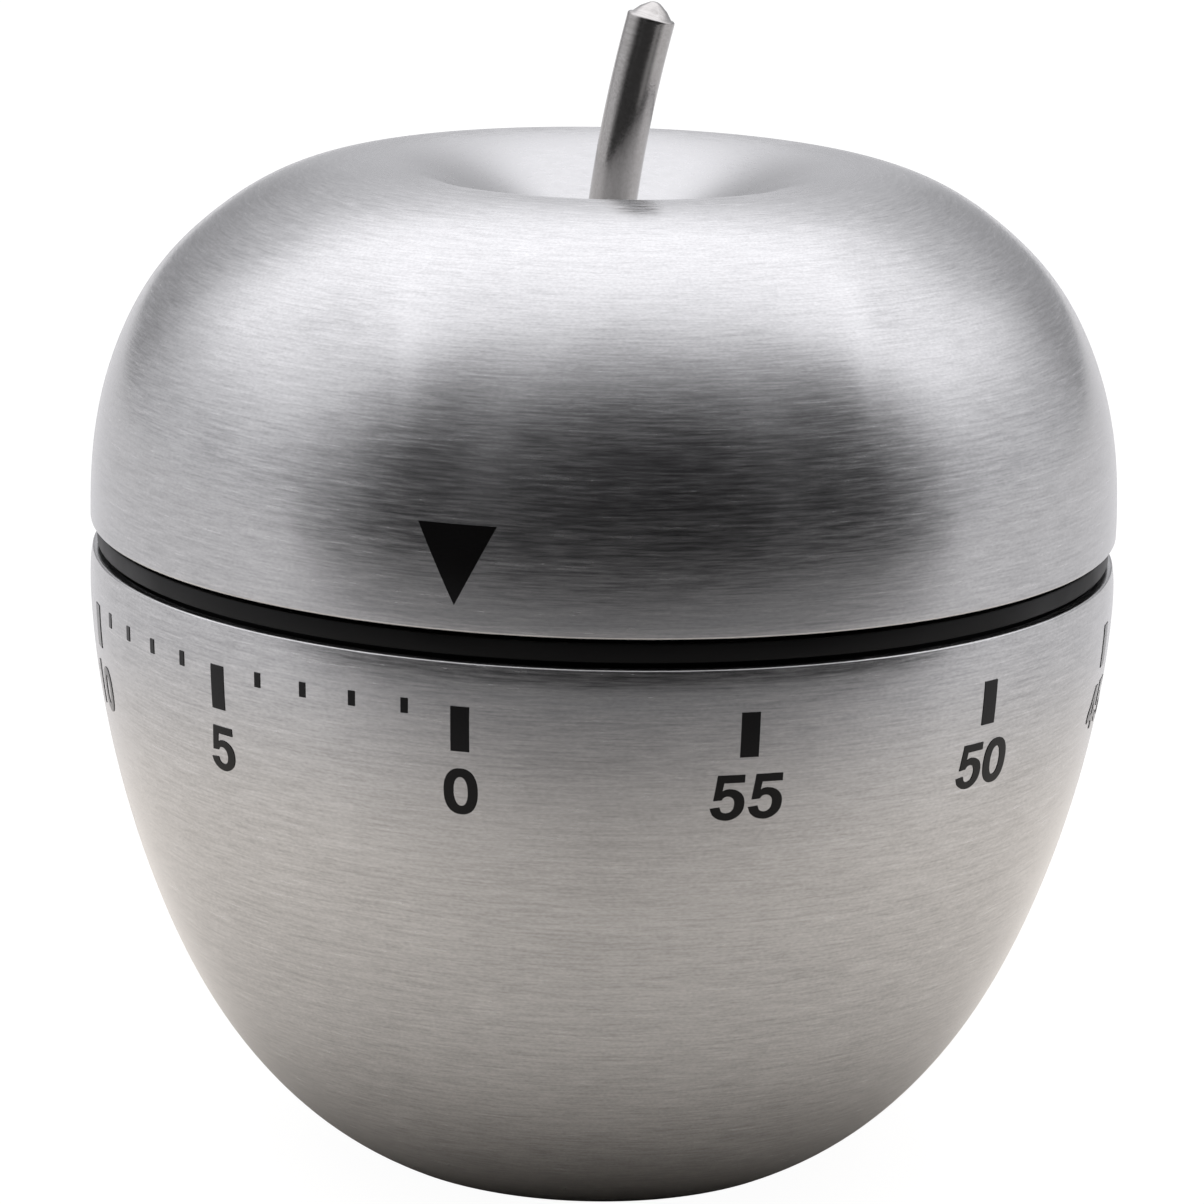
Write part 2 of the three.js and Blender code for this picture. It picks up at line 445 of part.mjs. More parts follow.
wheelAndArbor('escape', P4, 0, 0, 0, 0, M3, 29.6, 31.2, phase4p, 0);
{ // escape wheel: slanted pointed teeth
  const pts = [];
  for (let k = 0; k < ESCAPE_N; k++) {
    const a = 2 * Math.PI * k / ESCAPE_N, w = 2 * Math.PI / ESCAPE_N;
    pts.push([3.9 * Math.cos(a), 3.9 * Math.sin(a)]);
    pts.push([ESCAPE_R * Math.cos(a + 0.42 * w), ESCAPE_R * Math.sin(a + 0.42 * w)]);
    pts.push([ESCAPE_R * Math.cos(a + 0.56 * w), ESCAPE_R * Math.sin(a + 0.56 * w)]);
    pts.push([3.9 * Math.cos(a + 0.62 * w), 3.9 * Math.sin(a + 0.62 * w)]);
  }
  put(trainGroup, 'escape_wheel', polygon(pts, 28.1, 0.8, [circle(WHEEL_HOLE_R, 8).reverse()]), brass(), P4);
}
{ // pallet: lever with two pins and a bar that sets the beat
  const z0 = PLATE_LO_Z - 0.4, z1 = PLATE_HI_Z + PLATE_T + 0.4;
  put(trainGroup, 'pallet_arbor', turned([[0, z0], [PIVOT_R, z0], [PIVOT_R, 17.4], [ARBOR_R, 17.4], [ARBOR_R, 31.8],
    [PIVOT_R, 31.8], [PIVOT_R, z1], [0, z1]], 8), cleanSteel(), P5);
  const d = dirDeg(P5, P4), g = 49.4 * TURN, R = 2.9;
  const a = [R * Math.cos(d + g), R * Math.sin(d + g)], b = [R * Math.cos(d - g), R * Math.sin(d - g)];
  const back = [1.7 * Math.cos(d + Math.PI), 1.7 * Math.sin(d + Math.PI)];
  const lever = join(polygon(bar([0, 0], a, 1.6, 0.95), 29.2, 0.7), polygon(bar([0, 0], b, 1.6, 0.95), 29.2, 0.7),
    polygon(bar([0, 0], back, 1.6, 0.8), 29.2, 0.7));
  put(trainGroup, 'pallet_lever', cut(lever, cyl(WHEEL_HOLE_R, 28, 31, 8), cyl(0.65, 28, 31, 8, a[0], a[1]),
    cyl(0.65, 28, 31, 8, b[0], b[1])), cleanSteel(), P5);
  put(trainGroup, 'pallet_pin_1', cyl(0.35, 27.8, 30.1, 8), cleanSteel(), [P5[0] + a[0], P5[1] + a[1]]);
  put(trainGroup, 'pallet_pin_2', cyl(0.35, 27.8, 30.1, 8), cleanSteel(), [P5[0] + b[0], P5[1] + b[1]]);
  const n = [5 * Math.cos(d + Math.PI / 2), 5 * Math.sin(d + Math.PI / 2)];
  const half = [n[0] * 0.3, n[1] * 0.3];
  const bb = join(polygon(bar([-n[0], -n[1]], [n[0], n[1]], 0.8, 0.8), 30.5, 0.9),
    polygon(circle(1.7, 12), 30.5, 0.9));
  put(trainGroup, 'balance_bar', cut(bb, cyl(WHEEL_HOLE_R, 29, 33, 8)), brass(), P5);
}

// ---------------------------------------------------------------- hammer
{
  const z1 = PLATE_HI_Z + PLATE_T + 0.4;
  put(trainGroup, 'hammer_arbor', turned([[0, 12.0], [PIVOT_R, 12.0], [PIVOT_R, 17.4], [ARBOR_R, 17.4], [ARBOR_R, 31.8],
    [PIVOT_R, 31.8], [PIVOT_R, z1], [0, z1]], 8), cleanSteel(), PH);
  const H = polar(15.9, 0.3), N = polar(6.9, -39.5);
  const h = [H[0] - PH[0], H[1] - PH[1]], n = [N[0] - PH[0], N[1] - PH[1]];
  put(trainGroup, 'hammer_arm', cut(polygon(bar([0, 0], h, 1.4, 1.2), 12.6, 1.0), cyl(0.8, 12, 14, 8),
    cyl(0.9, 12, 14, 8, h[0], h[1])), cleanSteel(), PH);
  put(trainGroup, 'hammer_head', turned([[0, 7.2], [1.1, 7.2], [1.4, 7.6], [1.4, 10.2], [1.1, 10.6], [0.6, 10.6],
    [0.6, 13.9], [0, 13.9]], 12), brass(), H);
  put(trainGroup, 'hammer_lever', cut(polygon(bar([0, 0], n, 1.5, 0.6), 17.6, 0.9), cyl(WHEEL_HOLE_R, 17, 19, 8)),
    cleanSteel(), PH);
  // leaf spring that returns the hammer lever, held at the third pillar
  const q = PILLARS[2];
  const mid = [[q[0] - 1.0, q[1] - 2.3], [q[0] - 2.2, q[1] - 1.6], [q[0] - 2.4, q[1]], [q[0] - 3.6, q[1] + 1.8],
    [q[0] - 5.6, q[1] + 2.2]];
  put(baseGroup, 'hammer_spring', polygon(offset(mid, -0.15).concat(offset(mid, 0.15).reverse()), 17.7, 0.7), springSteel());
}

export default timer;
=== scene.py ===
# Kitchen timer, apple shape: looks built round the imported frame.
import bpy, bmesh, json, math
from mathutils import Vector, Matrix
from mathutils.geometry import delaunay_2d_cdt


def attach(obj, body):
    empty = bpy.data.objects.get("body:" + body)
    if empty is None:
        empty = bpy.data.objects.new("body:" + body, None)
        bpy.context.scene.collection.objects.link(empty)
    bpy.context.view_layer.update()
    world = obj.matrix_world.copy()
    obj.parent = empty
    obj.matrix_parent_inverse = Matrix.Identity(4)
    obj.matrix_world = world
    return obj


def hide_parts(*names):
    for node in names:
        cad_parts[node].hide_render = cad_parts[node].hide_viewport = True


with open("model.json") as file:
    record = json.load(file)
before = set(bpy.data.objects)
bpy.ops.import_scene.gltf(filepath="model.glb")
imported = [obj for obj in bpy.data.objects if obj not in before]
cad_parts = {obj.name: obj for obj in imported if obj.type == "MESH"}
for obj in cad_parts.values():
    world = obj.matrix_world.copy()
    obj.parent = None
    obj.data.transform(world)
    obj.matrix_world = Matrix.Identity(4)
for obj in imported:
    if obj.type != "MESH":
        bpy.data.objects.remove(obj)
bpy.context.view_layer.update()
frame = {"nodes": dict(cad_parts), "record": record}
MM = 0.001
SCENE = bpy.context.scene

# ------------------------------------------------------------------ camera
cam_loc = Vector((0.068235, -0.267787, 0.100027))
cam_to = Vector((0.00003, 0.00001, 0.03233))
fw = (cam_to - cam_loc).normalized()
rt = fw.cross(Vector((0, 0, 1))).normalized()
up = rt.cross(fw)
ROLL = 0.02266
r2 = rt * math.cos(ROLL) + up * math.sin(ROLL)
u2 = -rt * math.sin(ROLL) + up * math.cos(ROLL)
cam_data = bpy.data.cameras.new("camera")
cam = bpy.data.objects.new("camera", cam_data)
SCENE.collection.objects.link(cam)
M = Matrix((r2, u2, -fw)).transposed().to_4x4()
M.translation = cam_loc
cam.matrix_world = M
cam_data.sensor_width = 36.0
cam_data.lens = 4815.67 / 1204 * 36.0
cam_data.clip_start = 0.01
cam_data.clip_end = 20
SCENE.camera = cam
SCENE.view_settings.view_transform = "Standard"
SCENE.view_settings.look = "None"
SCENE.view_settings.exposure = 0.0
SCENE.view_settings.gamma = 1.0

# ------------------------------------------------------------------ dimensions (mm)
SHELL_T = 0.6
BASE_HOLE_R = 11.5
LOWER_CTRL = [(13.88, 0), (16.72, 1.49), (21.09, 5.56), (25.24, 12.6), (28.33, 21.55), (29.96, 30.28), (30.1, 35.0), (29.9, 35.75)]
UPPER_CTRL = [(30.0, 37.75), (30.03, 39.94), (29.79, 44.6), (27.14, 51.17), (23.48, 54.84), (19.47, 57.57), (15.9, 58.42), (13.9, 58.42)]
CREST_R, CREST_Z, DIMPLE = 13.9, 58.42, 4.5
STEM_HOLE_R = 1.72
C1, C2, BEND_Z = 0.11017, 0.005913, 55.2
STEM_DIR = Vector((0.969, 0.247, 0)).normalized()


def bspline(ctrl, n):
    k, c = 3, len(ctrl)
    knots = [min(max(i - k, 0), c - k) for i in range(c + k + 1)]
    out = []
    for s in range(n):
        t = min(s / (n - 1) * (c - k), c - k - 1e-9)
        j = k
        while t >= knots[j + 1]:
            j += 1
        d = [list(ctrl[j - k + i]) for i in range(k + 1)]
        for r in range(1, k + 1):
            for i in range(k, r - 1, -1):
                a, b = knots[j - k + i], knots[j + 1 + i - r]
                w = (t - a) / (b - a)
                d[i] = [d[i - 1][0] * (1 - w) + d[i][0] * w, d[i - 1][1] * (1 - w) + d[i][1] * w]
        out.append(tuple(d[k]))
    return out


def offset(curve, d):
    out = []
    for i, p in enumerate(curve):
        a, b = curve[max(i - 1, 0)], curve[min(i + 1, len(curve) - 1)]
        tx, ty = b[0] - a[0], b[1] - a[1]
        l = math.hypot(tx, ty)
        out.append((p[0] - d * ty / l, p[1] + d * tx / l))
    return out


def arc(cx, cz, r, a0, a1, n):
    return [(cx + r * math.cos(math.radians(a0 + (a1 - a0) * i / n)), cz + r * math.sin(math.radians(a0 + (a1 - a0) * i / n))) for i in range(n + 1)]


def at_z(curve, z):
    for (r0, z0), (r1, z1) in zip(curve, curve[1:]):
        if (z0 - z) * (z1 - z) <= 0 and z0 != z1:
            return r0 + (r1 - r0) * (z - z0) / (z1 - z0)
    return None


lowerC = bspline(LOWER_CTRL, 72)
upperC = bspline(UPPER_CTRL, 64)


# ------------------------------------------------------------------ mesh helpers
def new_object(name, bm, smooth=True):
    me = bpy.data.meshes.new(name)
    bm.normal_update()
    bm.to_mesh(me)
    bm.free()
    for p in me.polygons:
        p.use_smooth = smooth
    o = bpy.data.objects.new(name, me)
    SCENE.collection.objects.link(o)
    return o


def lathe(name, prof, seg, closed=True, sharp_deg=38.0):
    """Turned mesh round Z from an outline in (r, z) mm. Writes a UV with the angle and the length along the outline."""
    n = len(prof)
    area = sum(prof[i][0] * prof[(i + 1) % n][1] - prof[(i + 1) % n][0] * prof[i][1] for i in range(n))
    if area < 0:
        prof = prof[::-1]
    bm = bmesh.new()
    uv = bm.loops.layers.uv.new("brush")
    s = [0.0]
    for i in range(n):
        a, b = prof[i], prof[(i + 1) % n]
        s.append(s[-1] + math.hypot(b[0] - a[0], b[1] - a[1]))
    rings = []
    for r, z in prof:
        if r < 1e-6:
            rings.append([bm.verts.new((0, 0, z * MM))])
        else:
            rings.append([bm.verts.new((r * MM * math.sin(2 * math.pi * k / seg), -r * MM * math.cos(2 * math.pi * k / seg), z * MM)) for k in range(seg)])
    last = n if closed else n - 1
    for i in range(last):
        A, B = rings[i], rings[(i + 1) % n]
        if len(A) == 1 and len(B) == 1:
            continue
        for k in range(seg):
            k2 = (k + 1) % seg
            u0, u1 = k / seg, (k + 1) / seg
            if len(A) == 1:
                f = bm.faces.new((A[0], B[k2], B[k]))
                uvs = ((u0, s[i]), (u1, s[i + 1]), (u0, s[i + 1]))
            elif len(B) == 1:
                f = bm.faces.new((A[k], A[k2], B[0]))
                uvs = ((u0, s[i]), (u1, s[i]), (u0, s[i + 1]))
            else:
                f = bm.faces.new((A[k], A[k2], B[k2], B[k]))
                uvs = ((u0, s[i]), (u1, s[i]), (u1, s[i + 1]), (u0, s[i + 1]))
            for l, c in zip(f.loops, uvs):
                l[uv].uv = (c[0], c[1] * 0.01)
    # sharp edges where the outline turns hard
    bm.normal_update()
    lim = math.radians(sharp_deg)
    for e in bm.edges:
        if len(e.link_faces) == 2 and e.calc_face_angle(0) > lim:
            e.smooth = False
    return new_object(name, bm)


def leaned(co):
    """Bends a straight stem point along the stem's own curve."""
    ux, uy = STEM_DIR.x, STEM_DIR.y
    x, y, z = co.x / MM, co.y / MM, co.z / MM
    s = max(z - BEND_Z, 0)
    off = C1 * s + C2 * s * s
    tilt = math.atan(C1 + 2 * C2 * s) if s > 0 else 0
    # ease in over the first millimetre so that the rod has no crease
    if s < 1.5:
        tilt *= s / 1.5
    pu, pv = x * ux + y * uy, -x * uy + y * ux
    qu, qz = off + pu * math.cos(tilt), z - pu * math.sin(tilt)
    return Vector(((ux * qu - uy * pv) * MM, (uy * qu + ux * pv) * MM, qz * MM))


# ------------------------------------------------------------------ material helpers
def material(name):
    m = bpy.data.materials.new(name)
    m.use_nodes = True
    nt = m.node_tree
    nt.nodes.clear()
    out = nt.nodes.new("ShaderNodeOutputMaterial")
    b = nt.nodes.new("ShaderNodeBsdfPrincipled")
    nt.links.new(b.outputs["BSDF"], out.inputs["Surface"])
    return m, nt, b


def N(nt, kind, **kw):
    n = nt.nodes.new(kind)
    for k, v in kw.items():
        setattr(n, k, v)
    return n


def math_node(nt, op, a, b=None, c=None):
    n = nt.nodes.new("ShaderNodeMath")
    n.operation = op
    for i, v in enumerate((a, b, c)):
        if v is None:
            continue
        if isinstance(v, (int, float)):
            n.inputs[i].default_value = v
        else:
            nt.links.new(v, n.inputs[i])
    return n.outputs[0]


def noise(nt, vec, scale, detail=2.0, rough=0.5, dims="3D"):
    n = nt.nodes.new("ShaderNodeTexNoise")
    n.noise_dimensions = dims
    n.inputs["Scale"].default_value = scale
    n.inputs["Detail"].default_value = detail
    n.inputs["Roughness"].default_value = rough
    if vec is not None:
        nt.links.new(vec, n.inputs["Vector"])
    return n.outputs["Fac"]


def ramp(nt, fac, lo, hi, a=0.0, b=1.0):
    n = nt.nodes.new("ShaderNodeMapRange")
    n.clamp = True
    n.inputs["From Min"].default_value = a
    n.inputs["From Max"].default_value = b
    n.inputs["To Min"].default_value = lo
    n.inputs["To Max"].default_value = hi
    nt.links.new(fac, n.inputs["Value"])
    return n.outputs["Result"]


def grey_tint(nt, fac, dark, light):
    n = nt.nodes.new("ShaderNodeMix")
    n.data_type = "RGBA"
    n.inputs["A"].default_value = (*dark, 1)
    n.inputs["B"].default_value = (*light, 1)
    nt.links.new(fac, n.inputs["Factor"])
    return n.outputs["Result"]


def bump(nt, bsdf, height, strength, distance):
    n = nt.nodes.new("ShaderNodeBump")
    n.inputs["Strength"].default_value = strength
    n.inputs["Distance"].default_value = distance
    nt.links.new(height, n.inputs["Height"])
    nt.links.new(n.outputs["Normal"], bsdf.inputs["Normal"])
    return n


def round_brush(nt, along, across, uv_len=0.1):
    """A vector whose noise is long round the axis and thin along the outline (sizes in metres)."""
    tc = N(nt, "ShaderNodeTexCoord")
    flat = N(nt, "ShaderNodeVectorMath", operation="MULTIPLY")
    flat.inputs[1].default_value = (1, 1, 0)
    nt.links.new(tc.outputs["Object"], flat.inputs[0])
    nrm = N(nt, "ShaderNodeVectorMath", operation="NORMALIZE")
    nt.links.new(flat.outputs[0], nrm.inputs[0])
    sc = N(nt, "ShaderNodeVectorMath", operation="MULTIPLY")
    sc.inputs[1].default_value = (0.03 / along, 0.03 / along, 0)
    nt.links.new(nrm.outputs[0], sc.inputs[0])
    uvn = N(nt, "ShaderNodeUVMap", uv_map="brush")
    sep = N(nt, "ShaderNodeSeparateXYZ")
    nt.links.new(uvn.outputs[0], sep.inputs[0])
    v = math_node(nt, "MULTIPLY", sep.outputs[1], uv_len / across)
    comb = N(nt, "ShaderNodeCombineXYZ")
    nt.links.new(v, comb.inputs[2])
    add = N(nt, "ShaderNodeVectorMath", operation="ADD")
    nt.links.new(sc.outputs[0], add.inputs[0])
    nt.links.new(comb.outputs[0], add.inputs[1])
    return add.outputs[0]


def brushed_steel(name, dark, light, rough_lo, rough_hi, aniso=0.7, strength=0.35, dimple=0.0):
    m, nt, b = material(name)
    fine = noise(nt, round_brush(nt, 0.0019, 0.00012), 1.0, 2.0, 0.6)
    mid = noise(nt, round_brush(nt, 0.0052, 0.00021), 1.0, 1.0, 0.5)
    grit = noise(nt, round_brush(nt, 0.00026, 0.00011), 1.0, 0.0, 0.5)
    relief = noise(nt, round_brush(nt, 0.0019, 0.00013), 1.0, 1.0, 0.45)
    wide = noise(nt, round_brush(nt, 0.008, 0.0012), 1.0, 2.0, 0.5)
    streak = math_node(nt, "ADD", math_node(nt, "MULTIPLY", fine, 0.66), math_node(nt, "MULTIPLY", mid, 0.34))
    cloudy = math_node(nt, "ADD", math_node(nt, "MULTIPLY", streak, 0.88), math_node(nt, "MULTIPLY", wide, 0.12))
    tone = math_node(nt, "ADD", math_node(nt, "MULTIPLY", cloudy, 0.81), math_node(nt, "MULTIPLY", grit, 0.19))
    rough = ramp(nt, cloudy, rough_lo, rough_hi, 0.33, 0.67)
    if dimple:                                            # the pressed hollow is duller and less combed than the turned outside
        tc = N(nt, "ShaderNodeTexCoord")
        flat = N(nt, "ShaderNodeVectorMath", operation="MULTIPLY")
        flat.inputs[1].default_value = (1, 1, 0)
        nt.links.new(tc.outputs["Object"], flat.inputs[0])
        ln = N(nt, "ShaderNodeVectorMath", operation="LENGTH")
        nt.links.new(flat.outputs[0], ln.inputs[0])
        inner = ramp(nt, ln.outputs["Value"], 1.0, 0.0, 0.0120, 0.0165)
        rough = math_node(nt, "ADD", rough, math_node(nt, "MULTIPLY", inner, dimple))
        calm = math_node(nt, "SUBTRACT", 1.0, math_node(nt, "MULTIPLY", inner, 0.75))
        tone = math_node(nt, "ADD", math_node(nt, "MULTIPLY", math_node(nt, "SUBTRACT", tone, 0.5), calm), 0.5)
    nt.links.new(grey_tint(nt, ramp(nt, tone, 0, 1, 0.35, 0.65), dark, light), b.inputs["Base Color"])
    nt.links.new(rough, b.inputs["Roughness"])
    b.inputs["Metallic"].default_value = 1.0
    b.inputs["Anisotropic"].default_value = aniso
    b.inputs["Anisotropic Rotation"].default_value = 0.25
    t = N(nt, "ShaderNodeTangent", direction_type="RADIAL", axis="Z")
    nt.links.new(t.outputs[0], b.inputs["Tangent"])
    height = math_node(nt, "ADD", math_node(nt, "MULTIPLY", relief, 0.6), math_node(nt, "MULTIPLY", mid, 0.4))
    bn = bump(nt, b, height, strength, 0.00003)
    if dimple:
        nt.links.new(math_node(nt, "MULTIPLY", calm, strength), bn.inputs["Strength"])
    return m


def plain_metal(name, dark, light, rough_lo, rough_hi, scale=900, aniso=0.0):
    m, nt, b = material(name)
    tc = N(nt, "ShaderNodeTexCoord")
    f1 = noise(nt, tc.outputs["Object"], scale, 4.0, 0.6)
    mp = N(nt, "ShaderNodeMapping")
    mp.inputs["Scale"].default_value = (300, 5000, 5000)
    nt.links.new(tc.outputs["Object"], mp.inputs["Vector"])
    f2 = noise(nt, mp.outputs[0], 1.0, 2.0, 0.5)
    f = math_node(nt, "ADD", math_node(nt, "MULTIPLY", f1, 0.5), math_node(nt, "MULTIPLY", f2, 0.5))
    nt.links.new(grey_tint(nt, ramp(nt, f, 0, 1, 0.35, 0.65), dark, light), b.inputs["Base Color"])
    nt.links.new(ramp(nt, f, rough_hi, rough_lo, 0.35, 0.65), b.inputs["Roughness"])
    b.inputs["Metallic"].default_value = 1.0
    b.inputs["Anisotropic"].default_value = aniso
    bump(nt, b, f2, 0.12, 0.00002)
    return m


def moulded_black(name, lo, hi, r_lo, r_hi):
    m, nt, b = material(name)
    tc = N(nt, "ShaderNodeTexCoord")
    f1 = noise(nt, tc.outputs["Object"], 2500, 3.0, 0.6)
    f2 = noise(nt, tc.outputs["Object"], 160, 3.0, 0.55)
    nt.links.new(grey_tint(nt, f2, lo, hi), b.inputs["Base Color"])
    nt.links.new(ramp(nt, f2, r_lo, r_hi, 0.35, 0.65), b.inputs["Roughness"])
    bump(nt, b, f1, 0.10, 0.00004)
    return m


mat_shell = brushed_steel("brushed_shell", (0.425, 0.423, 0.423), (0.602, 0.599, 0.598), 0.14, 0.28, 0.80, 0.14, 0.10)
mat_lower = brushed_steel("brushed_shell_lower", (0.408, 0.406, 0.405), (0.620, 0.616, 0.614), 0.14, 0.28, 0.80, 0.14)
mat_stem = brushed_steel("stem_steel", (0.38, 0.365, 0.35), (0.50, 0.485, 0.47), 0.08, 0.18, 0.2, 0.10)
mat_turned = plain_metal("turned_steel", (0.45, 0.45, 0.45), (0.62, 0.62, 0.63), 0.20, 0.34)
mat_spring = plain_metal("spring_steel", (0.17, 0.19, 0.23), (0.30, 0.33, 0.38), 0.22, 0.34)
mat_brass = plain_metal("movement_brass", (0.60, 0.43, 0.17), (0.80, 0.62, 0.30), 0.20, 0.34)
mat_black = moulded_black("black_plastic", (0.003, 0.003, 0.003), (0.008, 0.008, 0.008), 0.38, 0.52)
mat_black.node_tree.nodes["Principled BSDF"].inputs["Specular IOR Level"].default_value = 0.16
mat_ink = moulded_black("black_ink", (0.003, 0.0028, 0.0028), (0.007, 0.0066, 0.0066), 0.30, 0.42)
ink_bsdf = mat_ink.node_tree.nodes["Principled BSDF"]
ink_bsdf.inputs["IOR"].default_value = 1.25
ink_bsdf.inputs["Specular IOR Level"].default_value = 0.0
ink_bsdf.inputs["Coat Weight"].default_value = 1.0
ink_bsdf.inputs["Coat IOR"].default_value = 1.3
ink_bsdf.inputs["Coat Roughness"].default_value = 0.18
ink_bsdf.inputs["Sheen Weight"].default_value = 1.0
ink_bsdf.inputs["Sheen Roughness"].default_value = 0.15

SLOT_MAT = {"brushed_shell": mat_shell, "stem_steel": mat_stem, "turned_steel": mat_turned, "spring_steel": mat_spring,
            "movement_brass": mat_brass, "black_plastic": mat_black}
node_slot = {s["node"]: s["material_slot"] for s in frame["record"]["subparts"]}
for name, o in frame["nodes"].items():
    o.data.materials.clear()
    o.data.materials.append(SLOT_MAT[node_slot[name]])


def piece(o, body, slot_name, mat, *replaced):
    o.data.materials.clear()
    o.data.materials.append(mat)
    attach(o, body)
    if replaced:
        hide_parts(*replaced)
    return o


# ------------------------------------------------------------------ shells
SEG = 224
rim_lo = arc(29.76, 35.80, 0.14, 0, 90, 5)            # rolled outer edge of the lower rim
lower = [(BASE_HOLE_R + 0.12, 0.0)] + [p for p in lowerC if p[1] < 35.6] + rim_lo + arc(29.36, 35.82, 0.12, 90, 180, 3)
lower_in = [p for p in offset(bspline(LOWER_CTRL, 40), SHELL_T) if SHELL_T + 0.1 < p[1] < 35.2]
lower += lower_in[::-1] + [(13.3, SHELL_T), (BASE_HOLE_R + 0.12, SHELL_T)] + arc(BASE_HOLE_R + 0.12, SHELL_T / 2, SHELL_T / 2, 90, 270, 6)[1:-1]
o = lathe("lower_shell_skin", lower, SEG)
piece(o, "base", "brushed_shell", mat_lower, "lower_shell")

outer = [p for p in upperC if p[1] > 37.85 or p[0] < 20]
dimple = []
K = 40
for i in range(1, K + 1):
    r = CREST_R + (STEM_HOLE_R + 0.1 - CREST_R) * i / K
    t = (CREST_R - r) / CREST_R
    dimple.append((r, CREST_Z - DIMPLE * (0.5 - 0.5 * math.cos(math.pi * t))))
outer += dimple
upper = arc(29.84, 37.76, 0.16, 270, 360, 5) + outer
zc = dimple[-1][1]
inner = offset(bspline(UPPER_CTRL, 34) + dimple[::4], SHELL_T)
inner = [p for p in inner if p[1] > 38.2 and p[0] > STEM_HOLE_R + 0.4]
upper += arc(STEM_HOLE_R + 0.1, zc - SHELL_T / 2, SHELL_T / 2 * 0.98, 90, 270, 5)[1:] + inner[::-1] + arc(29.55, 37.75, 0.15, 180, 270, 3)
o = lathe("upper_shell_skin", upper, SEG)
piece(o, "cap", "brushed_shell", mat_shell, "upper_shell")

# ------------------------------------------------------------------ black insert with the ring that shows in the gap
wall_out = offset(bspline(LOWER_CTRL, 60), SHELL_T + 0.5)
wall_in = offset(bspline(LOWER_CTRL, 60), SHELL_T + 0.5 + 1.2)
lo_out = [p for p in wall_out if 3.6 < p[1] < 34.6][::3]
lo_in = [p for p in wall_in if 5.0 < p[1] < 34.4][::3]
sh0, sh1, shr = 14.2, 15.6, 19.6
prof = [(0, 3.0), (at_z(wall_out, 3.0), 3.0)] + lo_out + [(28.9, 34.9), (28.9, 36.24)]
prof += arc(29.50, 36.36, 0.12, 270, 360, 3) + arc(29.50, 37.20, 0.12, 0, 90, 3) + [(27.3, 37.32), (27.3, 34.9)]
prof += [p for p in lo_in if p[1] > sh1 + 0.4][::-1]
prof += [(at_z(wall_in, sh1), sh1), (shr, sh1), (shr, sh0), (at_z(wall_in, sh0), sh0)]
prof += [p for p in lo_in if p[1] < sh0 - 0.4][::-1] + [(at_z(wall_in, 4.2), 4.2), (0, 4.2)]


def cutters(name, items):
    """One mesh of several turned or extruded cutters, as a boolean operand."""
    bm = bmesh.new()
    for kind, args in items:
        if kind == "rod":
            x, y, r, z0, z1, n = args
            lo = [bm.verts.new(((x + r * math.cos(2 * math.pi * k / n)) * MM, (y + r * math.sin(2 * math.pi * k / n)) * MM, z0 * MM)) for k in range(n)]
            hi = [bm.verts.new((v.co.x, v.co.y, z1 * MM)) for v in lo]
        else:
            pts, z0, z1 = args
            n = len(pts)
            lo = [bm.verts.new((p[0] * MM, p[1] * MM, z0 * MM)) for p in pts]
            hi = [bm.verts.new((p[0] * MM, p[1] * MM, z1 * MM)) for p in pts]
        bm.faces.new(lo[::-1])
        bm.faces.new(hi)
        for k in range(n):
            bm.faces.new((lo[k], lo[(k + 1) % n], hi[(k + 1) % n], hi[k]))
    me = bpy.data.meshes.new(name)
    bm.to_mesh(me)
    bm.free()
    o = bpy.data.objects.new(name, me)
    SCENE.collection.objects.link(o)
    return o


def boolean(o, cutter, op="DIFFERENCE"):
    md = o.modifiers.new("b", "BOOLEAN")
    md.operation = op
    md.solver = "EXACT"
    md.object = cutter
    bpy.context.view_layer.update()
    dg = bpy.context.evaluated_depsgraph_get()
    me = bpy.data.meshes.new_from_object(o.evaluated_get(dg))
    o.modifiers.clear()
    o.data = me
    bpy.data.objects.remove(cutter)
    return o


def polar(r, a):
    return (r * math.cos(math.radians(a)), r * math.sin(math.radians(a)))


liner = lathe("lower_insert", prof, 128)
holes = [("rod", (*polar(21, a), 1.0, 13.5, 16.3, 20)) for a in (60, 180, 300)]
holes += [("rod", (*polar(8.2, 30 + 60 * k), 2.0, 2.4, 4.9, 24)) for k in range(6)]
boolean(liner, cutters("c1", holes))
rib = [(-0.6, 25.0), (0.6, 25.0), (0.6, 28.2), (-0.6, 28.2)]
boolean(liner, cutters("c2", [("poly", (rib, 33.6, 36.9))]), "UNION")
piece(liner, "base", "black_plastic", mat_black, "lower_liner")

# ------------------------------------------------------------------ plug in the base
plug = [(0, 0.4)] + [(10.95, 0.4)] + arc(10.95, 0.6, 0.2, 270, 360, 4)[1:] + [(11.15, 0.95)] + arc(12.75, 1.1, 0.15, 270, 360, 3) + arc(12.75, 2.15, 0.15, 0, 90, 3) + [(0, 2.3)]
cap = lathe("base_plug", plug, 112)
slots = []
for k in range(-2, 3):
    half = math.sqrt(9.4 * 9.4 - (k * 3.3) ** 2)
    pts = [(half + 0.8 * math.cos(math.radians(a)), k * 3.3 + 0.8 * math.sin(math.radians(a))) for a in range(-90, 91, 15)]
    pts += [(-half + 0.8 * math.cos(math.radians(a)), k * 3.3 + 0.8 * math.sin(math.radians(a))) for a in range(90, 271, 15)]
    slots.append(("poly", (pts, -0.2, 3.2)))
boolean(cap, cutters("c3", slots))
piece(cap, "base", "black_plastic", mat_black, "base_cap")

